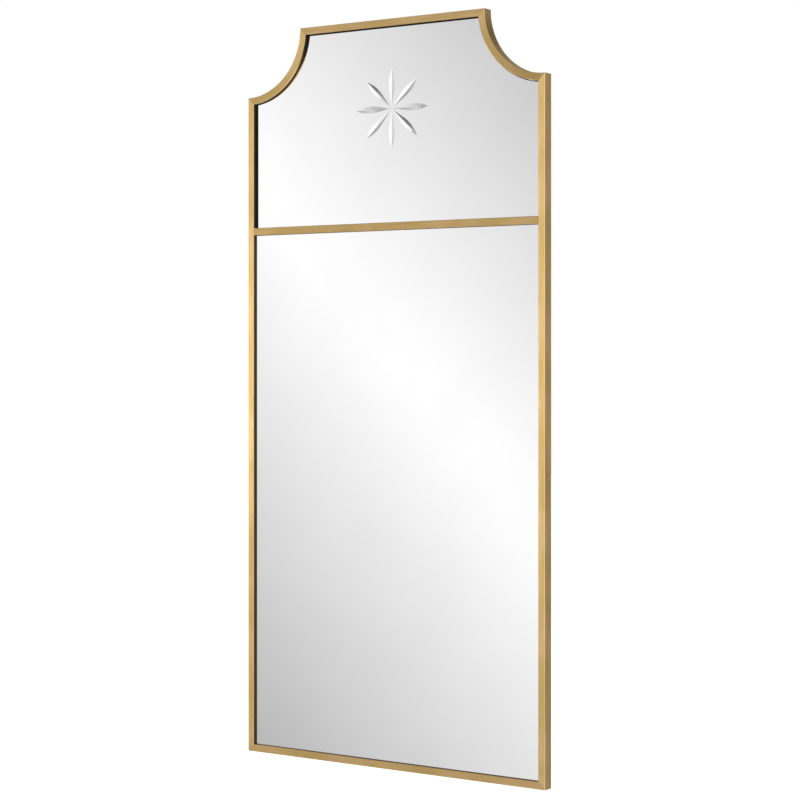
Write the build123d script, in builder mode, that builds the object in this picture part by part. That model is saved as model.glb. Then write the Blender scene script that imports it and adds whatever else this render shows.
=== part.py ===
from build123d import *
import os
from math import atan2, cos, degrees, pi, radians, sin, sqrt

# A tall wall mirror: a brass-finished tube frame with two concave upper corners and one crossbar,
# an upper pane with a cut star and a plain lower pane, each on its own board, and two hanging rings.
# Lengths are in millimetres. X runs to the right, Y into the wall and Z up.
# The origin is on the wall, midway between the two points where the wall's hooks bear.

# The whole mirror
frame_width = 762.0
crossbar_height = 1160.0  # from the bottom edge to the crossbar's centre line
upper_height = 443.0  # from there to the top edge
hook_drop = 116.0  # from a stile's top corner to the point where its hook bears

# The tube that every bar of the frame is cut from
bar_width = 16.0
bar_depth = 27.0
tube_wall = 1.2
arris_radius = 1.2
inner_corner_radius = 0.5
scoop_radius = 144.0  # of the concave corners, on their outer side

# The panes and what carries them
glass_thickness = 4.0
upper_glass_gap = 1.8  # between the glass edges and the tubes, above and beside the upper pane
lower_glass_gap = 0.8
glass_seat = 0.4  # under each pane
edge_seam = 0.4
upper_recess = 8.7  # of the upper pane's face behind the frame's face
lower_recess = 6.2
tape_thickness = 1.0
tape_width = 25.0
tape_count = 4
tape_pitch = 190.0
tape_end_margin = 35.0
board_thickness = 5.0
board_gap = 0.5  # between the board edges and the tubes

# The cut star
star_drop = 191.0  # from the top edge to the star's centre
level_ray = 93.0
upright_ray = 87.0
ray_count = 8
ray_width = 15.5
groove_depth = 1.5
ray_lean = 1.36  # over 1, a ray is widest past its middle
ray_steps = 10
wheel_lift = 0.02  # the groove starts and ends this far above the glass
wheel_overrun = 0.5  # the cutting solid stands this far out of the glass

# Fixing tabs and the screws through them
tab_length = 20.0
tab_width = 16.0
tab_thickness = 2.0
tab_inset = 45.0  # from the end of a stile's inner wall to the first tab
upper_stile_tab_count = 2
lower_stile_tab_count = 3
level_bar_tab_count = 2
tab_pitch = 300.0  # between the tabs of a level bar
screw_radius = 1.75
screw_clearance = 0.45  # around the screw in its tab
thread_gap = 0.05  # around the screw in its board
screw_bite = 4.2
pilot_run = 0.3  # past the screw's tip
screw_head_radius = 3.5
screw_head_height = 2.0
screw_head_round = 0.8
recess_length = 3.8
recess_width = 0.9
recess_depth = 1.1

# Hangers
plate_reach = 38.0  # from the stile's inner wall
plate_height = 40.0
plate_thickness = 2.0
plate_corner = 5.0
strap_inset = 20.0  # from the stile's inner wall to the middle of the strap
strap_width = 14.0
strap_wall = 1.2
strap_length = 31.0  # below the ring's axis
ring_wire_radius = 1.5
ring_inner_width = 22.0
ring_inner_height = 16.0  # from the ring's axis to where a hook bears
ring_corner = 3.5
eye_clearance = 0.06  # around the ring's bar in its eye
rivet_radius = 2.0
rivet_clearance = 0.05
rivet_head_radius = 3.5
rivet_head_height = 1.2
rivet_head_round = 0.6
rivet_drop = 9.0  # from the ring's axis to the upper rivet
rivet_pitch = 15.0
rivet_head_gap = 0.3  # between the rivet heads and the upper board

# Wall bumpers
bumper_radius = 7.0
bumper_height = 2.0
bumper_round = 0.7
bumper_inset = 60.0  # from the ends of a stile

# Places that follow from the sizes above, with heights measured from the bottom edge
frame_height = crossbar_height + upper_height
half_width = frame_width / 2
inner_half_width = half_width - bar_width
total_depth = bar_depth + bumper_height
mitre_run = sqrt((scoop_radius + bar_width) ** 2 - bar_width ** 2) - scoop_radius
shoulder_height = frame_height - scoop_radius
inner_shoulder_height = shoulder_height - mitre_run
crossbar_top = crossbar_height + bar_width / 2
crossbar_underside = crossbar_height - bar_width / 2
top_rail_underside = frame_height - bar_width
star_height = frame_height - star_drop
hook_height = shoulder_height - hook_drop
ring_axis_height = hook_height - ring_inner_height
upper_board_front = upper_recess + glass_thickness + tape_thickness
lower_board_front = lower_recess + glass_thickness + tape_thickness
upper_board_back = upper_board_front + board_thickness
lower_board_back = lower_board_front + board_thickness
plate_front = upper_board_back + rivet_head_gap + rivet_head_height
plate_back = plate_front + plate_thickness
strap_back = plate_back + 2 * strap_wall
eye_radius = ring_wire_radius + eye_clearance
eye_depth = plate_back + strap_wall + eye_radius


def front_view(depth):
    """The upright plane at a depth behind the frame's face, for sketches in (across, height).

    It faces the viewer, so that a negative extrusion runs back towards the wall."""
    return Plane(
        origin=(0, depth - total_depth, -hook_height), x_dir=(1, 0, 0), z_dir=(0, -1, 0)
    )


def corner_plane(across, height, run, rise):
    """The plane square to the frame's face through a point, whose normal leans along (run, rise)."""
    return Plane(origin=(across, 0, height - hook_height), z_dir=(run, 0, rise))


def spread(first, last, count):
    """Evenly spaced positions from the first to the last."""
    step = (last - first) / (count - 1)
    return [first + step * number for number in range(count)]


def draw_tube_section():
    """The hollow section of the tube, its face along the sketch's first direction."""
    RectangleRounded(bar_width, bar_depth, arris_radius)
    RectangleRounded(
        bar_width - 2 * tube_wall,
        bar_depth - 2 * tube_wall,
        inner_corner_radius,
        mode=Mode.SUBTRACT,
    )


def bottom_mitre(side):
    """The plane between a stile, above it, and the bottom rail."""
    return corner_plane(side * half_width, 0, side, 1)


def shoulder_mitre(side):
    """The plane between a stile and the scoop above it."""
    return corner_plane(side * half_width, shoulder_height, -side * mitre_run, bar_width)


def top_mitre(side):
    """The plane between a scoop and the top rail above it."""
    return corner_plane(
        side * (half_width - scoop_radius), frame_height, -side * bar_width, mitre_run
    )


def make_stile(side):
    """An upright of the frame, mitred at the bottom corner and at the shoulder."""
    with BuildPart() as stile:
        with BuildSketch(Plane.XY.offset(-hook_height)):
            with Locations((side * (half_width - bar_width / 2), bar_depth / 2 - total_depth)):
                draw_tube_section()
        extrude(amount=shoulder_height)
        split(bisect_by=bottom_mitre(side), keep=Keep.TOP)
        split(bisect_by=shoulder_mitre(side), keep=Keep.BOTTOM)
    return stile


def make_scoop(side):
    """A concave upper corner: the tube bent to a quarter circle round the frame's missing corner."""
    section_plane = Plane(
        origin=(
            side * half_width,
            bar_depth / 2 - total_depth,
            shoulder_height - bar_width / 2 - hook_height,
        ),
        x_dir=(0, 0, 1),
        z_dir=(-1, 0, 0),
    )
    bend_axis = Axis((side * half_width, 0, frame_height - hook_height), (0, side, 0))
    with BuildPart() as scoop:
        with BuildSketch(section_plane):
            draw_tube_section()
        revolve(axis=bend_axis, revolution_arc=90)
        split(bisect_by=shoulder_mitre(side), keep=Keep.TOP)
        split(bisect_by=top_mitre(side), keep=Keep.BOTTOM)
    return scoop


def make_level_bar(height, half_length):
    """A horizontal bar about the mirror's middle, square at its ends."""
    section_plane = Plane(
        origin=(0, bar_depth / 2 - total_depth, height - hook_height),
        x_dir=(0, 0, 1),
        z_dir=(-1, 0, 0),
    )
    with BuildPart() as bar:
        with BuildSketch(section_plane):
            draw_tube_section()
        extrude(amount=half_length, both=True)
    return bar


def make_upper_sheet(depth, thickness, gap, seat):
    """A flat sheet that fills the upper opening, a gap inside its tubes and a seat above the crossbar."""
    inset = bar_width + gap
    side = half_width - inset
    low = crossbar_top + seat
    high = frame_height - inset
    bend = scoop_radius + inset
    reach = sqrt(bend ** 2 - inset ** 2)
    middle_across = half_width - bend * cos(pi / 4)
    middle_height = frame_height - bend * sin(pi / 4)
    with BuildPart() as sheet:
        with BuildSketch(front_view(depth)):
            with BuildLine():
                Line((-side, low), (side, low))
                Line((side, low), (side, frame_height - reach))
                ThreePointArc(
                    (side, frame_height - reach),
                    (middle_across, middle_height),
                    (half_width - reach, high),
                )
                Line((half_width - reach, high), (reach - half_width, high))
                ThreePointArc(
                    (reach - half_width, high),
                    (-middle_across, middle_height),
                    (-side, frame_height - reach),
                )
                Line((-side, frame_height - reach), (-side, low))
            make_face()
        extrude(amount=-thickness)
    return sheet


def make_lower_sheet(depth, thickness, gap, seat):
    """A flat sheet that fills the lower opening, a gap inside its tubes and a seat above the rail."""
    low = bar_width + seat
    high = crossbar_underside - gap
    with BuildPart() as sheet:
        with BuildSketch(front_view(depth)):
            with Locations((0, (low + high) / 2)):
                Rectangle(2 * (inner_half_width - gap), high - low)
        extrude(amount=-thickness)
    return sheet


def make_ray_groove(angle):
    """What the cutting wheel takes out for one ray of the star: a V that deepens and widens
    from the star's centre to past the middle of the ray, then closes to a point."""
    tip_across = level_ray * cos(angle)
    tip_height = upright_ray * sin(angle)
    length = sqrt(tip_across ** 2 + tip_height ** 2)
    along_x = tip_across / length
    along_z = tip_height / length
    spread_per_depth = ray_width / 2 / groove_depth
    with BuildPart() as groove:
        for distance_share in spread(0, 1, ray_steps + 1):
            depth = groove_depth * sin(pi * distance_share ** ray_lean) - wheel_lift
            top = (depth + wheel_overrun) * spread_per_depth
            section_plane = Plane(
                origin=(
                    tip_across * distance_share,
                    upper_recess - total_depth,
                    star_height - hook_height + tip_height * distance_share,
                ),
                x_dir=(-along_z, 0, along_x),
                z_dir=(along_x, 0, along_z),
            )
            with BuildSketch(section_plane):
                Polygon((0, -depth), (top, wheel_overrun), (-top, wheel_overrun), align=None)
        loft(ruled=True)
    return groove


def make_tape(depth, low, high):
    """Strips of double-sided tape side by side, between a pane and its board."""
    with BuildPart() as tape:
        with BuildSketch(front_view(depth)):
            with Locations((0, (low + high) / 2)):
                with GridLocations(tape_pitch, 0, tape_count, 1):
                    Rectangle(tape_width, high - low - 2 * tape_end_margin)
        extrude(amount=-tape_thickness)
    return tape


def tab_places(low, side_top, high, stile_tab_count):
    """Where each tab of an opening is rooted, with the direction in degrees that it points."""
    places = {}
    stile_heights = spread(low + tab_inset, side_top - tab_inset, stile_tab_count)
    for number, height in enumerate(stile_heights, 1):
        places[f"left_tab_{number}"] = (-inner_half_width, height, 0)
        places[f"right_tab_{number}"] = (inner_half_width, height, 180)
    bar_places = spread(-tab_pitch / 2, tab_pitch / 2, level_bar_tab_count)
    for number, across in enumerate(bar_places, 1):
        places[f"bottom_tab_{number}"] = (across, low, 90)
        places[f"top_tab_{number}"] = (across, high, -90)
    return places


def tab_hole(place):
    """The middle of a tab's screw hole, which is the middle of its round end."""
    across, height, angle = place
    reach = tab_length - tab_width / 2
    return across + reach * cos(radians(angle)), height + reach * sin(radians(angle))


def make_tab(place, depth):
    """A steel tongue, welded by its root to a tube's inner wall behind a board."""
    across, height, angle = place
    with BuildPart() as tab:
        with BuildSketch(front_view(depth)):
            with Locations((across, height)):
                Rectangle(
                    tab_length - tab_width / 2,
                    tab_width,
                    rotation=angle,
                    align=(Align.MIN, Align.CENTER),
                )
            with Locations(tab_hole(place)):
                Circle(tab_width / 2)
                Circle(screw_radius + screw_clearance, mode=Mode.SUBTRACT)
        extrude(amount=-tab_thickness)
    return tab


def make_board(sheet, back, places):
    """A backing board with a blind pilot hole behind each tab."""
    with BuildPart() as board:
        add(sheet.part)
        with BuildSketch(front_view(back)):
            with Locations(*[tab_hole(place) for place in places.values()]):
                Circle(screw_radius + thread_gap)
        extrude(amount=screw_bite + pilot_run, mode=Mode.SUBTRACT)
    return board


def make_screws(board_back, places):
    """Pan-head screws, one through each tab into the board, with cross recesses."""
    holes = [tab_hole(place) for place in places.values()]
    head_seat = board_back + tab_thickness
    head_top = head_seat + screw_head_height
    with BuildPart() as screws:
        with BuildSketch(front_view(head_seat)):
            with Locations(*holes):
                Circle(screw_radius)
        extrude(amount=tab_thickness + screw_bite)
        with BuildSketch(front_view(head_seat)):
            with Locations(*holes):
                Circle(screw_head_radius)
        extrude(amount=-screw_head_height)
        head_rims = screws.edges().filter_by(GeomType.CIRCLE).group_by(Axis.Y)[-1]
        fillet(head_rims, screw_head_round)
        with BuildSketch(front_view(head_top)):
            with Locations(*holes):
                Rectangle(recess_length, recess_width)
                Rectangle(recess_width, recess_length)
        extrude(amount=recess_depth, mode=Mode.SUBTRACT)
    return screws


def rivet_places(side):
    """The middles of a hanger's two rivets."""
    across = side * (inner_half_width - strap_inset)
    upper = ring_axis_height - rivet_drop
    return (across, upper), (across, upper - rivet_pitch)


def make_hanger_plate(side):
    """A steel plate welded by one edge to a stile's inner wall, drilled for two rivets."""
    with BuildPart() as plate:
        with BuildSketch(front_view(plate_front)) as outline:
            with Locations((side * inner_half_width, ring_axis_height)):
                Rectangle(
                    plate_reach,
                    plate_height,
                    align=(Align.MAX if side > 0 else Align.MIN, Align.MAX),
                )
            free_corners = outline.vertices().sort_by(lambda corner: abs(corner.X))[:2]
            fillet(free_corners, plate_corner)
            with Locations(*rivet_places(side)):
                Circle(rivet_radius + rivet_clearance, mode=Mode.SUBTRACT)
        extrude(amount=-plate_thickness)
    return plate


def make_hanger_strap(side):
    """A steel strip folded double round the ring's bar and riveted flat on its plate."""
    across = side * (inner_half_width - strap_inset)
    side_view = Plane(
        origin=(across, eye_depth - total_depth, ring_axis_height - hook_height),
        x_dir=(0, 1, 0),
        z_dir=(1, 0, 0),
    )
    with BuildPart() as strap:
        with BuildSketch(side_view):
            Circle(eye_radius + strap_wall)
            with Locations((plate_back - eye_depth, 0)):
                Rectangle(2 * strap_wall, strap_length, align=(Align.MIN, Align.MAX))
            Circle(eye_radius, mode=Mode.SUBTRACT)
        extrude(amount=strap_width / 2, both=True)
        with BuildSketch(front_view(plate_back)):
            with Locations(*rivet_places(side)):
                Circle(rivet_radius + rivet_clearance)
        extrude(amount=-2 * strap_wall, mode=Mode.SUBTRACT)
    return strap


def make_d_ring(side):
    """A wire ring, straight where it turns in the strap's eye and round where a hook bears."""
    across = side * (inner_half_width - strap_inset)
    half = ring_inner_width / 2 + ring_wire_radius
    top = ring_inner_height + ring_wire_radius
    shoulder = top - half
    turned = ring_corner * (1 - cos(pi / 4))
    ring_plane = Plane(
        origin=(across, eye_depth - total_depth, ring_axis_height - hook_height),
        x_dir=(1, 0, 0),
        z_dir=(0, -1, 0),
    )
    with BuildPart() as ring:
        with BuildLine(ring_plane) as centre_line:
            Line((0, 0), (half - ring_corner, 0))
            ThreePointArc((half - ring_corner, 0), (half - turned, turned), (half, ring_corner))
            Line((half, ring_corner), (half, shoulder))
            ThreePointArc((half, shoulder), (0, top), (-half, shoulder))
            Line((-half, shoulder), (-half, ring_corner))
            ThreePointArc((-half, ring_corner), (turned - half, turned), (ring_corner - half, 0))
            Line((ring_corner - half, 0), (0, 0))
        with BuildSketch(Plane(origin=centre_line.line @ 0, z_dir=centre_line.line % 0)):
            Circle(ring_wire_radius)
        sweep(path=centre_line.wire())
    return ring


def make_rivets(side):
    """The two rivets through a strap and its plate, headed on both sides."""
    places = rivet_places(side)
    with BuildPart() as rivets:
        with BuildSketch(front_view(strap_back + rivet_head_height)):
            with Locations(*places):
                Circle(rivet_head_radius)
        extrude(amount=rivet_head_height)
        head_rims = rivets.edges().filter_by(GeomType.CIRCLE).group_by(Axis.Y)[-1]
        fillet(head_rims, rivet_head_round)
        with BuildSketch(front_view(strap_back)):
            with Locations(*places):
                Circle(rivet_radius)
        extrude(amount=strap_back - plate_front)
        with BuildSketch(front_view(plate_front)):
            with Locations(*places):
                Circle(rivet_head_radius)
        extrude(amount=rivet_head_height)
    return rivets


def make_bumper(side, height):
    """A round rubber pad on the frame's back face, which keeps the metal off the wall."""
    with BuildPart() as bumper:
        with BuildSketch(front_view(bar_depth)):
            with Locations((side * (half_width - bar_width / 2), height)):
                Circle(bumper_radius)
        extrude(amount=-bumper_height)
        back_rim = bumper.edges().filter_by(GeomType.CIRCLE).group_by(Axis.Y)[-1]
        fillet(back_rim, bumper_round)
    return bumper


pieces = {}
sides = {"left": -1, "right": 1}

# The frame: seven tubes, welded at their mitres and at the crossbar's square ends
for name, side in sides.items():
    pieces[f"{name}_stile"] = make_stile(side)
    pieces[f"{name}_scoop"] = make_scoop(side)

with BuildPart() as bottom_rail:
    add(make_level_bar(bar_width / 2, half_width).part)
    split(bisect_by=bottom_mitre(-1), keep=Keep.BOTTOM)
    split(bisect_by=bottom_mitre(1), keep=Keep.BOTTOM)
pieces["bottom_rail"] = bottom_rail

with BuildPart() as top_rail:
    add(make_level_bar(frame_height - bar_width / 2, half_width - scoop_radius).part)
    split(bisect_by=top_mitre(-1), keep=Keep.TOP)
    split(bisect_by=top_mitre(1), keep=Keep.TOP)
pieces["top_rail"] = top_rail

pieces["cross_bar"] = make_level_bar(crossbar_height, inner_half_width)

# The panes: silvered glass with seamed front edges, the upper one with its star
with BuildPart() as upper_mirror_pane:
    add(make_upper_sheet(upper_recess, glass_thickness, upper_glass_gap, glass_seat).part)
    chamfer(upper_mirror_pane.faces().sort_by(Axis.Y)[0].edges(), edge_seam)
    for ray in range(ray_count):
        add(make_ray_groove(2 * pi * ray / ray_count).part, mode=Mode.SUBTRACT)
pieces["upper_mirror_pane"] = upper_mirror_pane

with BuildPart() as lower_mirror_pane:
    add(make_lower_sheet(lower_recess, glass_thickness, lower_glass_gap, glass_seat).part)
    chamfer(lower_mirror_pane.faces().sort_by(Axis.Y)[0].edges(), edge_seam)
pieces["lower_mirror_pane"] = lower_mirror_pane

# Tape, boards, tabs and screws behind each pane
upper_tabs = tab_places(
    crossbar_top, inner_shoulder_height, top_rail_underside, upper_stile_tab_count
)
lower_tabs = tab_places(
    bar_width, crossbar_underside, crossbar_underside, lower_stile_tab_count
)

pieces["upper_bonding_tape"] = make_tape(
    upper_recess + glass_thickness, crossbar_top, inner_shoulder_height
)
pieces["lower_bonding_tape"] = make_tape(
    lower_recess + glass_thickness, bar_width, crossbar_underside
)
pieces["upper_backing_board"] = make_board(
    make_upper_sheet(upper_board_front, board_thickness, board_gap, board_gap),
    upper_board_back,
    upper_tabs,
)
pieces["lower_backing_board"] = make_board(
    make_lower_sheet(lower_board_front, board_thickness, board_gap, board_gap),
    lower_board_back,
    lower_tabs,
)
for name, place in upper_tabs.items():
    pieces[f"upper_{name}"] = make_tab(place, upper_board_back)
for name, place in lower_tabs.items():
    pieces[f"lower_{name}"] = make_tab(place, lower_board_back)
pieces["upper_board_screws"] = make_screws(upper_board_back, upper_tabs)
pieces["lower_board_screws"] = make_screws(lower_board_back, lower_tabs)

# Hangers and wall bumpers
for name, side in sides.items():
    pieces[f"{name}_hanger_plate"] = make_hanger_plate(side)
    pieces[f"{name}_hanger_strap"] = make_hanger_strap(side)
    pieces[f"{name}_d_ring"] = make_d_ring(side)
    pieces[f"{name}_hanger_rivets"] = make_rivets(side)
    pieces[f"lower_{name}_bumper"] = make_bumper(side, bumper_inset)
    pieces[f"upper_{name}_bumper"] = make_bumper(side, shoulder_height - bumper_inset)

os.makedirs("parts", exist_ok=True)
for name, piece in pieces.items():
    piece.part.label = name
    export_step(piece.part, f"parts/{name}.step")
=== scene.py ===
from math import cos, pi, radians, sin

import bmesh
import bpy
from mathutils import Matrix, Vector


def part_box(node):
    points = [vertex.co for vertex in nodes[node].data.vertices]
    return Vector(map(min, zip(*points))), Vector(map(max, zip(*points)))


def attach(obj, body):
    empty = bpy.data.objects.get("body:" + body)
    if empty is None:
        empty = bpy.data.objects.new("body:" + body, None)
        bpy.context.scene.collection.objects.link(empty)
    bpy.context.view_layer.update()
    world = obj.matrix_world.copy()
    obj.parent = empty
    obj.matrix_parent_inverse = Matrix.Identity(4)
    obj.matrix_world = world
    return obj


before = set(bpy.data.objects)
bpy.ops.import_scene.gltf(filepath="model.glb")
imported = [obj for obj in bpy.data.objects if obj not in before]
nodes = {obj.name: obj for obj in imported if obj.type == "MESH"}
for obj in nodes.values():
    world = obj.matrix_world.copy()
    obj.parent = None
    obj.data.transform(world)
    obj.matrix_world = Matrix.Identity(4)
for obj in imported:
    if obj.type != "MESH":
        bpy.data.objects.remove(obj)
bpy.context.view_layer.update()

# Stiles
# The two uprights are rectangular steel tube, brass plated, brushed along their length and
# lacquered. They are mitred, then welded to the bottom rail and to the scoops above them.
stile_low, stile_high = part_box("right_stile")
bar_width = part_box("cross_bar")[1].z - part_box("cross_bar")[0].z
pale_brass = (0.98, 0.67, 0.31, 1)
olive_brass = (0.86, 0.59, 0.22, 1)
# The arris colour is partly edge wear and partly a painted highlight where the rounded arris
# catches the light.
rubbed_and_highlit_brass = (1.0, 0.80, 0.46, 1)
# The two reveal colours are painted shade on the inner walls of the frame, in the recess beside
# the glass.
dark_reveal_shade = (0.046, 0.034, 0.020, 1)
brown_reveal_shade = (0.130, 0.088, 0.052, 1)
mitre_shade = (0.20, 0.13, 0.05, 1)
mark_stretch = 0.012  # brush marks are some eighty times as long as they are wide
coarse_marks = 620  # marks to the metre
fine_marks = 2400
clouds_of_tone = 11
# Painted shade in the reveals is lighter brown below these heights and darker above them.
reveal_shade_heights = (-0.20, -0.17)  # brown below these heights, dark above them
arris_starts = (0.10, 0.50)  # how squarely a rounded arris faces the front, at its two sides
arris_ends = (0.86, 0.99)
wall_starts = (0.45, 0.80)
rubbed_and_highlight_share = 0.9
rubbed_polish = 0.08
hairline_share = 0.4
hairline_edge = (0.0002, 0.0006)
brushed_roughness = (0.36, 0.48)
reveal_roughness = 0.2
brushed_spread = 0.85  # how much further light spreads across the marks than along them
brushing_depth = 0.00003
lacquer_weight = 0.06
lacquer_roughness = 0.3
coarse_edge = (0.42, 0.68)
coarse_share = 0.35
fine_edge = (0.50, 0.72)
fine_share = 0.30
fine_relief = 0.5  # how deep the fine marks are beside the coarse ones
whole_noise = (0.3, 0.7)  # most of a random tone lies between these
middle_noise = (0.35, 0.65)


def add_node(tree, kind, inputs=None, **settings):
    """One shader node, with its settings made and its inputs set or linked."""
    made = tree.nodes.new(kind)
    for name, value in settings.items():
        setattr(made, name, value)
    for name, value in (inputs or {}).items():
        if isinstance(value, bpy.types.NodeSocket):
            tree.links.new(value, made.inputs[name])
        else:
            made.inputs[name].default_value = value
    return made


def calculate(tree, operation, first, second=0.0):
    """The result of one sum on two values."""
    return add_node(
        tree, "ShaderNodeMath", {0: first, 1: second}, operation=operation
    ).outputs[0]


def combine(tree, operation, first, second=(0, 0, 0)):
    """The result of one sum on two vectors: a number for a dot product, a vector for the rest."""
    made = add_node(
        tree, "ShaderNodeVectorMath", {0: first, 1: second}, operation=operation
    )
    return made.outputs["Value" if operation == "DOT_PRODUCT" else "Vector"]


def fade(tree, value, start, end, low=0.0, high=1.0):
    """A soft change from low to high while the value goes from start to end."""
    made = add_node(
        tree,
        "ShaderNodeMapRange",
        {"Value": value, "From Min": start, "From Max": end, "To Min": low, "To Max": high},
        interpolation_type="SMOOTHSTEP",
    )
    return made.outputs["Result"]


def grain(tree, vector, scale, detail=2.0):
    """Soft random tone between 0 and 1."""
    made = add_node(
        tree, "ShaderNodeTexNoise", {"Vector": vector, "Scale": scale, "Detail": detail}
    )
    return made.outputs["Fac"]


def mix_colours(tree, share, first, second):
    """The first colour where the share is 0, the second where it is 1."""
    made = add_node(
        tree, "ShaderNodeMix", {0: share, 6: first, 7: second}, data_type="RGBA"
    )
    return made.outputs[2]


def roughen(tree, shader, height, depth, strength=1.0):
    """Press a height pattern, in metres of depth, into the surface of a shader."""
    bump = add_node(
        tree, "ShaderNodeBump", {"Height": height, "Distance": depth, "Strength": strength}
    )
    tree.links.new(bump.outputs["Normal"], shader.inputs["Normal"])


def start_finish(name):
    """A new finish: its material, its node tree, its shader and where a point lies."""
    finish = bpy.data.materials.new(name)
    finish.use_nodes = True
    tree = finish.node_tree
    position = add_node(tree, "ShaderNodeTexCoord").outputs["Object"]
    return finish, tree, tree.nodes["Principled BSDF"], position


def facing(tree):
    """The way that the surface faces."""
    return add_node(tree, "ShaderNodeNewGeometry").outputs["Normal"]


def part_of(tree, vector, direction):
    """How far a vector points in a direction."""
    return combine(tree, "DOT_PRODUCT", vector, direction)


def straight_brushing(tree, position, direction):
    """Brush marks along a bar: a space that is squeezed along them, and the way that they lie."""
    squeeze = [mark_stretch if abs(part) > 0.5 else 1.0 for part in direction]
    squeezed = combine(tree, "MULTIPLY", position, squeeze)
    lay = add_node(tree, "ShaderNodeCombineXYZ", dict(zip("XYZ", direction)))
    return squeezed, lay.outputs["Vector"]


def mitre_line(tree, position, corner, across):
    """The hairline where two bars meet at a mitre: 1 on it and 0 away from it."""
    across = Vector(across).normalized()
    distance = combine(tree, "SUBTRACT", position, corner)
    distance = calculate(tree, "ABSOLUTE", part_of(tree, distance, across))
    return fade(tree, distance, *hairline_edge, 1.0, 0.0)


def brushed_brass(name, brushing, reveal, mitres, shade_share=0.0):
    """Brass plate with brush marks, worn arrises with a painted highlight, dark mitre hairlines
    and inner walls darkened by painted shade.

    The brushing and the reveal are functions of the tree and the position, and the reveal gives
    how much painted shade darkens a wall, from 0 to 1. Each mitre is a corner and the direction
    across the joint.
    The shade share darkens the whole colour by that much, as painted shade."""
    finish, tree, shader, position = start_finish(name)
    squeezed, lay = brushing(tree, position)
    coarse = grain(tree, squeezed, coarse_marks, 3.0)
    fine = grain(tree, squeezed, fine_marks, 2.0)
    cloud = grain(tree, position, clouds_of_tone, 3.0)
    front = calculate(tree, "ABSOLUTE", part_of(tree, facing(tree), (0, 1, 0)))
    arris = calculate(
        tree,
        "MULTIPLY",
        fade(tree, front, *arris_starts),
        fade(tree, front, *arris_ends, 1.0, 0.0),
    )
    colour = mix_colours(tree, fade(tree, cloud, *middle_noise), olive_brass, pale_brass)
    # Painted shade: the colour darkens toward dark brown by the shade share, where the bar lies
    # darker in the light.
    colour = mix_colours(tree, shade_share, colour, mitre_shade)
    coarse_tone = fade(tree, coarse, *coarse_edge, 0.0, coarse_share)
    colour = mix_colours(tree, coarse_tone, colour, olive_brass)
    fine_tone = fade(tree, fine, *fine_edge, 0.0, fine_share)
    colour = mix_colours(tree, fine_tone, colour, mitre_shade)
    # Painted highlight along the rounded arrises, mixed with their real edge wear.
    rubbed_and_highlit = calculate(tree, "MULTIPLY", arris, rubbed_and_highlight_share)
    colour = mix_colours(tree, rubbed_and_highlit, colour, rubbed_and_highlit_brass)
    for corner, across in mitres:
        hairline = mitre_line(tree, position, corner, across)
        colour = mix_colours(
            tree, calculate(tree, "MULTIPLY", hairline, hairline_share), colour, mitre_shade
        )
    # Painted shade on the inner walls: dark above the crossbar, brown below it.
    inner = reveal(tree, position)
    above_crossbar = fade(tree, part_of(tree, position, (0, 0, 1)), *reveal_shade_heights)
    reveal_shade = mix_colours(tree, above_crossbar, brown_reveal_shade, dark_reveal_shade)
    with_reveal_shade = mix_colours(tree, inner, colour, reveal_shade)
    tree.links.new(with_reveal_shade, shader.inputs["Base Color"])
    roughness = fade(tree, coarse, *whole_noise, *brushed_roughness)
    polish = calculate(tree, "MULTIPLY", arris, rubbed_polish)
    roughness = calculate(tree, "SUBTRACT", roughness, polish)
    dulling = calculate(tree, "MULTIPLY", inner, reveal_roughness)
    tree.links.new(calculate(tree, "ADD", roughness, dulling), shader.inputs["Roughness"])
    shader.inputs["Metallic"].default_value = 1.0
    shader.inputs["Anisotropic"].default_value = brushed_spread
    shader.inputs["Coat Weight"].default_value = lacquer_weight
    shader.inputs["Coat Roughness"].default_value = lacquer_roughness
    across_marks = combine(tree, "CROSS_PRODUCT", facing(tree), lay)
    tree.links.new(across_marks, shader.inputs["Tangent"])
    relief = calculate(tree, "ADD", coarse, calculate(tree, "MULTIPLY", fine, fine_relief))
    roughen(tree, shader, relief, brushing_depth, strength=0.5)
    return finish


def wall_reveal(shade_strength, *directions):
    """The reveal of a straight bar whose inner walls, darkened this much by painted shade, face
    these directions.
    """

    def reveal(tree, position):
        inner = 0.0
        for direction in directions:
            wall = part_of(tree, facing(tree), direction)
            wall = fade(tree, wall, *wall_starts, 0.0, shade_strength)
            inner = calculate(tree, "MAXIMUM", inner, wall)
        return inner

    return reveal


def dress(finish, *names):
    """Give a finish to the material slots of these pieces of the frame."""
    for name in names:
        for place in nodes[name].material_slots:
            place.material = finish


bend_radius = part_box("top_rail")[1].z - stile_high.z
mitre_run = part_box("top_rail")[1].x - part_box("right_scoop")[0].x
for side, name in ((-1, "left"), (1, "right")):
    bottom_corner = (side * stile_high.x, 0, stile_low.z)
    shoulder_corner = (side * stile_high.x, 0, stile_high.z)
    stile_brass = brushed_brass(
        f"{name} stile brass",
        lambda tree, position: straight_brushing(tree, position, (0, 0, 1)),
        wall_reveal(1.0, (-side, 0, 0)),
        [
            (bottom_corner, (side, 0, 1)),
            (shoulder_corner, (-side * mitre_run, 0, bar_width)),
        ],
    )
    dress(stile_brass, f"{name}_stile")

# Scoops
# Each concave upper corner is a length of the same tube, bent to a quarter circle before it was
# plated. It is brushed round the bend, and mitred to the stile and to the top rail.
scoop_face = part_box("left_scoop")[0].y
# Depths into a scoop's reveal over which painted shade comes in; the front of the wall stays
# bright.
shade_depth = (0.0045, 0.0060)
upright_wall = (0.80, 0.98)


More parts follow.
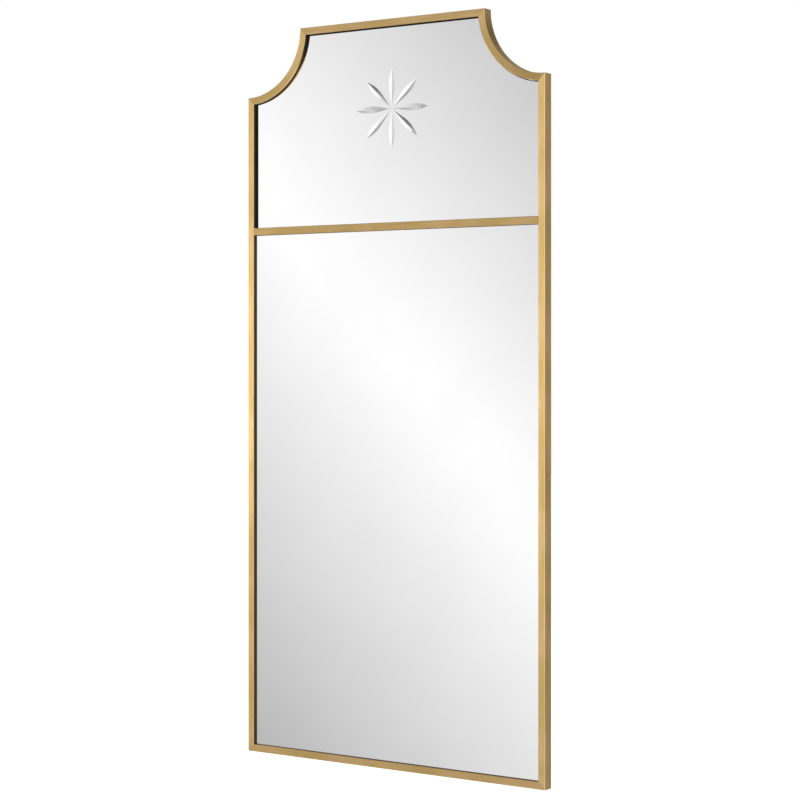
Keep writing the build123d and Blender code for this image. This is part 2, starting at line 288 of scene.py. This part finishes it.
def bent_brushing(tree, position, centre):
    """Brush marks round a bend, squeezed along the arc, and the way that they lie."""
    spoke = combine(tree, "SUBTRACT", position, centre)
    parts = add_node(tree, "ShaderNodeSeparateXYZ", {0: spoke}).outputs
    squared = calculate(
        tree,
        "ADD",
        calculate(tree, "POWER", parts["X"], 2.0),
        calculate(tree, "POWER", parts["Z"], 2.0),
    )
    turn = calculate(tree, "ARCTAN2", parts["Z"], parts["X"])
    along = calculate(tree, "MULTIPLY", turn, bend_radius * mark_stretch)
    squeezed = add_node(
        tree,
        "ShaderNodeCombineXYZ",
        {"X": calculate(tree, "SQRT", squared), "Y": parts["Y"], "Z": along},
    )
    lay = add_node(
        tree,
        "ShaderNodeCombineXYZ",
        {"X": calculate(tree, "MULTIPLY", parts["Z"], -1.0), "Z": parts["X"]},
    )
    return squeezed.outputs["Vector"], combine(tree, "NORMALIZE", lay.outputs["Vector"])


def bend_reveal(centre):
    """The reveal of a scoop, whose inner wall faces away from the centre of the bend.

    The wall is darkened by painted shade near the top rail, where it stands upright. Lower down
    its outer part is left bright, and only the deeper part next to the glass gets painted shade."""

    def reveal(tree, position):
        spoke = combine(tree, "SUBTRACT", position, centre)
        level_spoke = combine(tree, "MULTIPLY", spoke, (1, 0, 1))
        outward = combine(tree, "NORMALIZE", level_spoke)
        inner = fade(tree, part_of(tree, facing(tree), outward), *wall_starts)
        upright = calculate(tree, "ABSOLUTE", part_of(tree, outward, (1, 0, 0)))
        depth = calculate(tree, "SUBTRACT", part_of(tree, position, (0, 1, 0)), scoop_face)
        shaded = calculate(
            tree,
            "MAXIMUM",
            fade(tree, upright, *upright_wall),
            fade(tree, depth, *shade_depth),
        )
        return calculate(tree, "MULTIPLY", inner, shaded)

    return reveal


top_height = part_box("top_rail")[1].z
# The right scoop gets much more painted shade than the left.
for side, name, shade_share in ((-1, "left", 0.08), (1, "right", 0.30)):
    bend_centre = (side * stile_high.x, 0, top_height)
    top_corner = (side * (stile_high.x - bend_radius), 0, top_height)
    shoulder_corner = (side * stile_high.x, 0, stile_high.z)
    scoop_brass = brushed_brass(
        f"{name} scoop brass",
        lambda tree, position: bent_brushing(tree, position, bend_centre),
        bend_reveal(bend_centre),
        [
            (top_corner, (-side * bar_width, 0, mitre_run)),
            (shoulder_corner, (-side * mitre_run, 0, bar_width)),
        ],
        shade_share,
    )
    dress(scoop_brass, f"{name}_scoop")

# Top rail, crossbar and bottom rail
# The level bars are the same tube, brushed from side to side. The rails are mitred at both ends,
# and the crossbar is cut square and welded between the stiles, flush with their faces. Each
# bar below has how much painted shade darkens its colour, and the painted shade on its inner
# walls.
level_bars = {
    "top_rail": (0.10, wall_reveal(1.0, (0, 0, -1))),
    "cross_bar": (0.08, wall_reveal(0.35, (0, 0, 1), (0, 0, -1))),
    "bottom_rail": (0.18, wall_reveal(0.7, (0, 0, 1))),
}
rail_mitres = {
    "top_rail": [
        ((side * (stile_high.x - bend_radius), 0, top_height), (-side * bar_width, 0, mitre_run))
        for side in (-1, 1)
    ],
    "cross_bar": [
        ((side * (stile_high.x - bar_width), 0, 0), (1, 0, 0)) for side in (-1, 1)
    ],
    "bottom_rail": [
        ((side * stile_high.x, 0, stile_low.z), (side, 0, 1)) for side in (-1, 1)
    ],
}
for name, (shade_share, inner_walls) in level_bars.items():
    rail_brass = brushed_brass(
        f"{name} brass",
        lambda tree, position: straight_brushing(tree, position, (1, 0, 0)),
        inner_walls,
        rail_mitres[name],
        shade_share,
    )
    dress(rail_brass, name)

# Mirror panes
# Each pane is 4 mm float glass, silvered, with a seamed front edge. The star in the upper pane
# is ground in with a wheel, ray by ray, and polished until only faint wheel marks are left.
silver = (0.938, 0.935, 0.942, 1)
aged_silver = (0.922, 0.918, 0.926, 1)
ground_silver = (0.97, 0.97, 0.98, 1)
ground_tilt = (0.004, 0.020)  # the square of a facet's tilt from the pane
polish_haze = 0.012
ground_dulling = 0.09
silver_clouds = 5.0  # to the metre, as are the next two
polish_marks = 900.0
float_waves = 3.0
float_wave_depth = 0.00001
wheel_mark_depth = 0.000004


def mirror_glass(name):
    """Silvered glass, almost flat, whose ground facets are a little dulled."""
    finish, tree, shader, position = start_finish(name)
    cloud = grain(tree, position, silver_clouds, 3.0)
    haze = grain(tree, position, polish_marks, 2.0)
    tilt = combine(tree, "MULTIPLY", facing(tree), (1, 0, 1))
    tilt = combine(tree, "DOT_PRODUCT", tilt, tilt)
    ground = fade(tree, tilt, *ground_tilt)
    colour = mix_colours(tree, fade(tree, cloud, *whole_noise), silver, aged_silver)
    colour = mix_colours(tree, ground, colour, ground_silver)
    tree.links.new(colour, shader.inputs["Base Color"])
    shader.inputs["Metallic"].default_value = 1.0
    roughness = fade(tree, haze, *whole_noise, 0.0, polish_haze)
    dulling = calculate(tree, "MULTIPLY", ground, ground_dulling)
    tree.links.new(calculate(tree, "ADD", roughness, dulling), shader.inputs["Roughness"])
    wave = calculate(tree, "MULTIPLY", grain(tree, position, float_waves, 1.0), float_wave_depth)
    marks = calculate(tree, "MULTIPLY", haze, ground)
    marks = calculate(tree, "MULTIPLY", marks, wheel_mark_depth)
    roughen(tree, shader, calculate(tree, "ADD", wave, marks), 1.0)
    return finish


dress(mirror_glass("upper mirror glass"), "upper_mirror_pane")
dress(mirror_glass("lower mirror glass"), "lower_mirror_pane")

# Bonding tape
# Strips of double-sided foam tape hold each pane flat on its board. They lie hidden between the
# two, and the foam is full of small pores.
foam_pale = (0.62, 0.62, 0.58, 1)
foam_pore = (0.38, 0.38, 0.36, 1)
pores_to_the_metre = 1400.0
pore_depth = 0.0002
pore_edge = (0.1, 0.5)
foam_roughness = 0.9
foam, tree, shader, position = start_finish("tape foam")
pores = add_node(tree, "ShaderNodeTexVoronoi", {"Vector": position, "Scale": pores_to_the_metre})
pores = fade(tree, pores.outputs["Distance"], *pore_edge)
tree.links.new(mix_colours(tree, pores, foam_pore, foam_pale), shader.inputs["Base Color"])
shader.inputs["Roughness"].default_value = foam_roughness
roughen(tree, shader, pores, pore_depth, strength=0.6)
dress(foam, "upper_bonding_tape", "lower_bonding_tape")

# Backing boards
# Each pane is backed by a sheet of medium density fibreboard, sawn to shape. Its faces are
# sanded smooth, with the odd dark fibre in them, and its sawn edges are darker and open.
board_tan = (0.40, 0.265, 0.150, 1)
board_brown = (0.31, 0.195, 0.105, 1)
fibre_dark = (0.16, 0.095, 0.050, 1)
sawn_edge = (0.23, 0.140, 0.075, 1)
fibres_to_the_metre = 420
flecks_to_the_metre = 1300.0
stains_to_the_metre = 14.0
fibre_depth = 0.00012
felt_squeeze = (1.0, 1.0, 0.3)
least_tan = 0.72
fibre_edge = (0.45, 0.7)
fibre_share = 0.7
fibre_range = (0.2, 0.8)
fleck_edge = (0.66, 0.74)
face_starts = (0.3, 0.7)  # how squarely a surface faces the front, from sawn edge to sanded face
sawn_share = 0.8
board_roughness = (0.62, 0.82)
board_shine = 0.3


def fibreboard(name, turn):
    """Sanded fibreboard with its fibres felted one way more than the other."""
    finish, tree, shader, position = start_finish(name)
    felted = add_node(
        tree,
        "ShaderNodeMapping",
        {"Vector": position, "Rotation": (0, turn, 0), "Scale": felt_squeeze},
    ).outputs["Vector"]
    fibres = grain(tree, felted, fibres_to_the_metre, 6.0)
    stains = grain(tree, position, stains_to_the_metre, 5.0)
    flecks = grain(tree, felted, flecks_to_the_metre, 1.0)
    front = calculate(tree, "ABSOLUTE", part_of(tree, facing(tree), (0, 1, 0)))
    tan_share = fade(tree, stains, *whole_noise, least_tan, 1.0)
    colour = mix_colours(tree, tan_share, board_brown, board_tan)
    brown_share = fade(tree, fibres, *fibre_edge, 0.0, fibre_share)
    colour = mix_colours(tree, brown_share, colour, board_brown)
    colour = mix_colours(tree, fade(tree, flecks, *fleck_edge), colour, fibre_dark)
    colour = mix_colours(tree, fade(tree, front, *face_starts, sawn_share, 0.0), colour, sawn_edge)
    tree.links.new(colour, shader.inputs["Base Color"])
    tree.links.new(fade(tree, fibres, *fibre_range, *board_roughness), shader.inputs["Roughness"])
    shader.inputs["Specular IOR Level"].default_value = board_shine
    roughen(tree, shader, fibres, fibre_depth, strength=0.7)
    return finish


dress(fibreboard("upper fibreboard", 0.06), "upper_backing_board")
dress(fibreboard("lower fibreboard", -0.04), "lower_backing_board")

# Fixing tabs
# Small steel tongues, stamped with a round end and welded by their roots inside the tubes, hold
# the boards. They were plated with the frame but never brushed, so they are dull and clouded.
tab_names = [name for name in nodes if "_tab_" in name]
bead_radius = 0.0013
bead_ripples = 7
bead_rings = 43
bead_sides = 10
bead_tip = 0.25  # the thickness of a bead's ends, as a share of its middle's
bead_slope = 5
bead_swell = 0.10
bead_end = 0.0015  # from the end of a weld to the corner of its tab
scale_grey = (0.22, 0.17, 0.11, 1)
pit_depth = 0.00005
pit_edge = (0.58, 0.75)
pit_share = 0.6
brass_clouds = 60.0  # to the metre
plated_roughness = (0.34, 0.52)


def plated_brass(name, pits_to_the_metre):
    """Brass plate over bare steel: soft clouds, fine pits and no brushing."""
    finish, tree, shader, position = start_finish(name)
    cloud = grain(tree, position, brass_clouds, 4.0)
    pits = grain(tree, position, pits_to_the_metre, 3.0)
    colour = mix_colours(tree, fade(tree, cloud, *middle_noise), olive_brass, pale_brass)
    colour = mix_colours(tree, fade(tree, pits, *pit_edge, 0.0, pit_share), colour, scale_grey)
    tree.links.new(colour, shader.inputs["Base Color"])
    shader.inputs["Metallic"].default_value = 1.0
    tree.links.new(fade(tree, cloud, *whole_noise, *plated_roughness), shader.inputs["Roughness"])
    roughen(tree, shader, pits, pit_depth, strength=0.6)
    return finish


def lay_bead(mesh, start, end):
    """Add a rippled weld bead that runs from one point to the other, tapered at both ends."""
    along = end - start
    out = Vector((0, 1, 0))
    across = along.normalized().cross(out)
    rings = []
    for step in range(bead_rings):
        share = step / (bead_rings - 1)
        taper = min(1.0, bead_slope * share + bead_tip, bead_slope * (1 - share) + bead_tip)
        ripple = 1 + bead_swell * sin(2 * pi * bead_ripples * share)
        radius = bead_radius * taper * ripple
        centre = start + along * share
        ring = []
        for corner in range(bead_sides):
            angle = 2 * pi * corner / bead_sides
            offset = across * cos(angle) + out * sin(angle)
            ring.append(mesh.verts.new(centre + offset * radius))
        rings.append(ring)
    for first, second in zip(rings, rings[1:]):
        for corner in range(bead_sides):
            after = (corner + 1) % bead_sides
            mesh.faces.new((first[corner], first[after], second[after], second[corner]))
    mesh.faces.new(reversed(rings[0]))
    mesh.faces.new(rings[-1])


def finish_piece(name, mesh, finish, body):
    """Turn a mesh that is ready into a smooth piece that rides on a body of the frame."""
    bmesh.ops.recalc_face_normals(mesh, faces=mesh.faces)
    for face in mesh.faces:
        face.smooth = True
    data = bpy.data.meshes.new(name)
    mesh.to_mesh(data)
    mesh.free()
    data.materials.append(finish)
    piece = bpy.data.objects.new(name, data)
    bpy.context.scene.collection.objects.link(piece)
    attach(piece, body)
    return piece


def root_of(name):
    """The two ends of the line where a tab or plate meets its tube, on its back face."""
    low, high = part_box(name)
    back = high.y
    if "_left_" in name or name.startswith("left"):
        return Vector((low.x, back, low.z)), Vector((low.x, back, high.z))
    if "_right_" in name or name.startswith("right"):
        return Vector((high.x, back, low.z)), Vector((high.x, back, high.z))
    height = low.z if "_bottom_" in name else high.z
    return Vector((low.x, back, height)), Vector((high.x, back, height))


tab_brass = plated_brass("tab brass", 1500.0)
dress(tab_brass, *tab_names)
bead_mesh = bmesh.new()
for name in tab_names:
    start, end = root_of(name)
    inset = (end - start).normalized() * bead_end
    lay_bead(bead_mesh, start + inset, end - inset)
finish_piece("tab_welds", bead_mesh, plated_brass("weld brass", 3200.0), "frame")

# Board screws
# Pan-head steel screws with a cross recess go through the tabs into the boards. They are bright
# zinc plated, and the plate has a faint straw and blue bloom.
zinc_blue = (0.60, 0.62, 0.64, 1)
zinc_straw = (0.70, 0.66, 0.54, 1)
zinc_dark = (0.24, 0.24, 0.24, 1)
speck_depth = 0.00004
speck_edge = (0.62, 0.78)
zinc_roughness = (0.24, 0.42)


def bright_zinc(name, clouds_to_the_metre, specks_to_the_metre):
    """Zinc-plated steel with its bloom, in clouds, and small dull specks."""
    finish, tree, shader, position = start_finish(name)
    clouds = grain(tree, position, clouds_to_the_metre, 3.0)
    specks = grain(tree, position, specks_to_the_metre, 2.0)
    colour = mix_colours(tree, fade(tree, clouds, *middle_noise), zinc_blue, zinc_straw)
    colour = mix_colours(tree, fade(tree, specks, *speck_edge), colour, zinc_dark)
    tree.links.new(colour, shader.inputs["Base Color"])
    shader.inputs["Metallic"].default_value = 1.0
    tree.links.new(fade(tree, specks, *whole_noise, *zinc_roughness), shader.inputs["Roughness"])
    roughen(tree, shader, specks, speck_depth, strength=0.5)
    return finish


dress(bright_zinc("screw zinc", 240.0, 1800.0), "upper_board_screws", "lower_board_screws")

# Hangers
# A brass-plated steel plate is welded inside each stile. A zinc-plated strap is folded round the
# straight side of a D-ring of bent wire and held to the plate by two steel rivets.
plate_names = ("left_hanger_plate", "right_hanger_plate")
dress(tab_brass, *plate_names)
bead_mesh = bmesh.new()
for name in plate_names:
    start, end = root_of(name)
    inset = (end - start).normalized() * bead_end
    middle = (start + end) / 2
    gap = inset * 3
    lay_bead(bead_mesh, start + inset, middle - gap)
    lay_bead(bead_mesh, middle + gap, end - inset)
finish_piece(
    "hanger_welds", bead_mesh, plated_brass("hanger weld brass", 3000.0), "frame"
)
dress(bright_zinc("strap zinc", 130.0, 1200.0), "left_hanger_strap", "right_hanger_strap")
dress(bright_zinc("ring zinc", 180.0, 2200.0), "left_d_ring", "right_d_ring")
dress(bright_zinc("rivet zinc", 260.0, 1600.0), "left_hanger_rivets", "right_hanger_rivets")

# Wall bumpers
# Round self-adhesive pads of black rubber near the ends of each stile keep the metal off the
# wall. They are moulded with a matt skin and pick up a little dust.
rubber_black = (0.020, 0.020, 0.021, 1)
rubber_dust = (0.085, 0.080, 0.072, 1)
skin_depth = 0.00006
skin_grains = 2600.0  # to the metre, as is the next
dust_clouds = 300.0
dust_edge = (0.5, 0.75)
rubber_roughness = (0.58, 0.80)
rubber, tree, shader, position = start_finish("bumper rubber")
skin = grain(tree, position, skin_grains, 3.0)
dust = grain(tree, position, dust_clouds, 4.0)
tree.links.new(
    mix_colours(tree, fade(tree, dust, *dust_edge), rubber_black, rubber_dust),
    shader.inputs["Base Color"],
)
tree.links.new(fade(tree, skin, *whole_noise, *rubber_roughness), shader.inputs["Roughness"])
roughen(tree, shader, skin, skin_depth, strength=0.7)
dress(rubber, *[name for name in nodes if name.endswith("_bumper")])

# Floor
# A plain pale studio floor, 300 mm below the mirror as it hangs. It is matt, holds the mirror's
# soft shadow, and can't be seen from underneath.
floor_drop = 0.30
floor_reach = 14.0
floor_white = (0.60, 0.60, 0.60, 1)
floor_glow = 0.66
floor_patches = 2.0  # to the metre
floor_roughness = (0.88, 0.96)
floor_mesh = bmesh.new()
bmesh.ops.create_grid(floor_mesh, x_segments=8, y_segments=8, size=floor_reach)
floor_data = bpy.data.meshes.new("floor")
floor_mesh.to_mesh(floor_data)
floor_mesh.free()
floor = bpy.data.objects.new("floor", floor_data)
floor.location.z = stile_low.z - floor_drop
bpy.context.scene.collection.objects.link(floor)
floor_paint, tree, shader, position = start_finish("floor paint")
patches = grain(tree, position, floor_patches, 2.0)
shader.inputs["Base Color"].default_value = floor_white
shader.inputs["Specular IOR Level"].default_value = 0.0
tree.links.new(fade(tree, patches, *whole_noise, *floor_roughness), shader.inputs["Roughness"])
seen = add_node(tree, "ShaderNodeLightPath").outputs["Is Camera Ray"]
shader.inputs["Emission Color"].default_value = (1, 1, 1, 1)
tree.links.new(
    calculate(tree, "MULTIPLY", seen, floor_glow), shader.inputs["Emission Strength"]
)
underside = add_node(tree, "ShaderNodeNewGeometry").outputs["Backfacing"]
clear = add_node(tree, "ShaderNodeBsdfTransparent")
one_sided = add_node(
    tree,
    "ShaderNodeMixShader",
    {0: underside, 1: shader.outputs["BSDF"], 2: clear.outputs["BSDF"]},
)
tree.links.new(one_sided.outputs[0], tree.nodes["Material Output"].inputs["Surface"])
floor.data.materials.append(floor_paint)
floor.visible_glossy = False

# Studio light
# Three soft lamps, high on the left, on the right and behind, light what isn't metal or glass.
# Metal and glass show the studio: a bright band that leans across a pale room, dimmer behind,
# and a strip lamp close on the left, which puts the highlight on the left stile.
soft_lamps = {
    "left lamp": ((-2.4, -3.2, 1.9), 2.6, 70),
    "right lamp": ((3.0, -2.2, 0.2), 2.0, 22),
    "back lamp": ((0.6, 3.4, 1.4), 2.6, 40),
}
mirror_middle = Vector((0, 0, (stile_low.z + top_height) / 2))
for name, (place, width, power) in soft_lamps.items():
    light = bpy.data.lights.new(name, "AREA")
    light.shape = "DISK"
    light.size = width
    light.energy = power
    lamp = bpy.data.objects.new(name, light)
    lamp.location = place
    lamp.rotation_euler = (mirror_middle - Vector(place)).to_track_quat("-Z", "Y").to_euler()
    lamp.visible_glossy = False
    bpy.context.scene.collection.objects.link(lamp)
strip_lamp_place = Vector((-1.35, -0.75, -0.54))
strip_lamp_size = (0.20, 0.75)
strip_lamp_power = 1.6
light = bpy.data.lights.new("strip lamp", "AREA")
light.shape = "RECTANGLE"
light.size, light.size_y = strip_lamp_size
light.energy = strip_lamp_power
lamp = bpy.data.objects.new("strip lamp", light)
lamp.location = strip_lamp_place
lit_place = Vector((-stile_low.x, stile_low.y, strip_lamp_place.z))
lamp.rotation_euler = (lit_place - strip_lamp_place).to_track_quat("-Z", "Y").to_euler()
lamp.visible_camera = False
bpy.context.scene.collection.objects.link(lamp)

# What metal and glass reflect, as tones. The pairs run from straight down, -1, to straight up,
# 1, and those of the band run across it in the same way. Each part of the wall starts where the
# first two numbers say, from the left.
across_band = (0.636, -0.425, 0.643)
to_the_right = (0.8316, -0.5554, 0)
band_tones = (
    (-1.00, 0.30),
    (-0.30, 0.34),
    (-0.17, 0.52),
    (-0.01, 1.065),
    (0.01, 1.065),
    (0.13, 0.675),
    (0.30, 0.50),
    (1.00, 0.50),
)
far_left_tones = (
    (-1.00, 0.80),
    (-0.60, 0.70),
    (-0.40, 0.25),
    (-0.17, 0.65),
    (-0.07, 1.80),
    (0.03, 1.90),
    (0.14, 1.20),
    (0.40, 0.60),
    (1.00, 0.35),
)
left_tones = (
    (-1.00, 0.80),
    (-0.60, 0.60),
    (-0.42, 0.14),
    (-0.10, 0.16),
    (-0.02, 0.45),
    (0.06, 0.68),
    (0.14, 0.64),
    (0.28, 0.44),
    (0.45, 0.32),
    (1.00, 0.30),
)
middle_left_tones = (
    (-1.00, 0.95),
    (-0.60, 0.95),
    (-0.42, 0.60),
    (-0.30, 0.28),
    (-0.21, 0.60),
    (0.25, 1.05),
    (0.46, 0.62),
    (0.70, 0.45),
    (1.00, 0.30),
)
middle_right_tones = (
    (-1.00, 0.45),
    (-0.62, 0.35),
    (-0.44, 0.10),
    (-0.28, 0.20),
    (-0.21, 0.38),
    (0.32, 0.26),
    (0.46, 0.40),
    (0.70, 0.18),
    (1.00, 0.18),
)
right_tones = (
    (-1.00, 0.80),
    (-0.60, 0.60),
    (-0.38, 0.25),
    (-0.24, 0.48),
    (-0.15, 0.98),
    (-0.09, 1.20),
    (-0.01, 1.02),
    (0.44, 1.00),
    (0.50, 0.55),
    (0.60, 0.30),
    (1.00, 0.20),
)
far_right_tones = (
    (-1.00, 0.90),
    (-0.42, 0.85),
    (-0.30, 0.66),
    (-0.18, 0.64),
    (-0.05, 0.84),
    (0.08, 0.93),
    (0.20, 0.86),
    (0.35, 0.60),
    (0.50, 0.35),
    (1.00, 0.25),
)
beside_camera_tones = (
    (-1.00, 0.95),
    (-0.40, 0.80),
    (-0.20, 1.10),
    (0.25, 1.30),
    (0.50, 0.60),
    (1.00, 0.30),
)
wall_parts = (
    (-0.52, -0.42, left_tones),
    (-0.15, -0.09, middle_left_tones),
    (-0.09, 0.09, middle_right_tones),
    (0.11, 0.17, right_tones),
    (0.40, 0.52, far_right_tones),
    (0.86, 0.94, beside_camera_tones),
)
doorway = (0.5554, 0.8316, 0)
doorway_tone = 0.17
doorway_edge = (0.60, 0.90)
window_side = (0.13, 0.24)
window_top = (0.21, 0.30)
behind_starts = (-0.05, 0.30)
ceiling_starts = (0.15, 0.55)
ceiling_share = 0.4
back_wall_tone = 0.80
room_light = 0.75


def tones_along(tree, place, stops):
    """The tone at a place between -1 and 1, from the stops on both sides of it."""
    ramp = add_node(
        tree,
        "ShaderNodeValToRGB",
        {"Fac": add_node(tree, "ShaderNodeMapRange", {0: place, 1: -1.0}).outputs[0]},
    )
    while len(ramp.color_ramp.elements) < len(stops):
        ramp.color_ramp.elements.new(1.0)
    for element, (position, tone) in zip(ramp.color_ramp.elements, stops):
        element.position = (position + 1) / 2
        element.color = (tone, tone, tone, 1)
    return ramp.outputs["Color"]


studio = bpy.data.worlds.new("studio")
bpy.context.scene.world = studio
studio.use_nodes = True
tree = studio.node_tree
direction = add_node(tree, "ShaderNodeTexCoord").outputs["Generated"]
height = part_of(tree, direction, (0, 0, 1))
aside = part_of(tree, direction, to_the_right)
walls = tones_along(tree, height, far_left_tones)
for start, end, tones in wall_parts:
    walls = mix_colours(
        tree, fade(tree, aside, start, end), walls, tones_along(tree, height, tones)
    )
window = calculate(
    tree,
    "MULTIPLY",
    fade(tree, calculate(tree, "ABSOLUTE", aside), *window_side, 1.0, 0.0),
    fade(tree, calculate(tree, "ABSOLUTE", height), *window_top, 1.0, 0.0),
)
band = tones_along(tree, part_of(tree, direction, across_band), band_tones)
reflected = mix_colours(tree, window, walls, band)
behind = fade(tree, part_of(tree, direction, (0, 1, 0)), *behind_starts)
back_wall = fade(
    tree, part_of(tree, direction, doorway), *doorway_edge, back_wall_tone, doorway_tone
)
ceiling = fade(tree, height, *ceiling_starts, 1.0, ceiling_share)
back_wall = calculate(tree, "MULTIPLY", back_wall, ceiling)
back_wall = add_node(
    tree, "ShaderNodeCombineColor", {0: back_wall, 1: back_wall, 2: back_wall}
).outputs["Color"]
reflected = mix_colours(tree, behind, reflected, back_wall)
path = add_node(tree, "ShaderNodeLightPath").outputs
seen_plainly = calculate(tree, "MAXIMUM", path["Is Camera Ray"], path["Is Transmission Ray"])
white = (1, 1, 1, 1)
room = (room_light, room_light, room_light, 1)
sky = mix_colours(tree, path["Is Glossy Ray"], room, reflected)
sky = mix_colours(tree, seen_plainly, sky, white)
tree.links.new(sky, tree.nodes["Background"].inputs["Color"])

# Camera
# The mirror is seen from its right, 34 degrees round, with the lens level and a little above
# the mirror's middle.
view_turn = radians(33.74)
camera_place = (2.4575, -3.6676, -0.4587)
camera_data = bpy.data.cameras.new("camera")
camera_data.lens = 92.59
camera_data.sensor_width = 36.0
camera_data.shift_y = -0.0559
camera_data.clip_end = 100.0
camera = bpy.data.objects.new("camera", camera_data)
camera.location = camera_place
camera.rotation_euler = (pi / 2, 0, view_turn)
bpy.context.scene.collection.objects.link(camera)
bpy.context.scene.camera = camera
bpy.context.scene.view_settings.view_transform = "Standard"
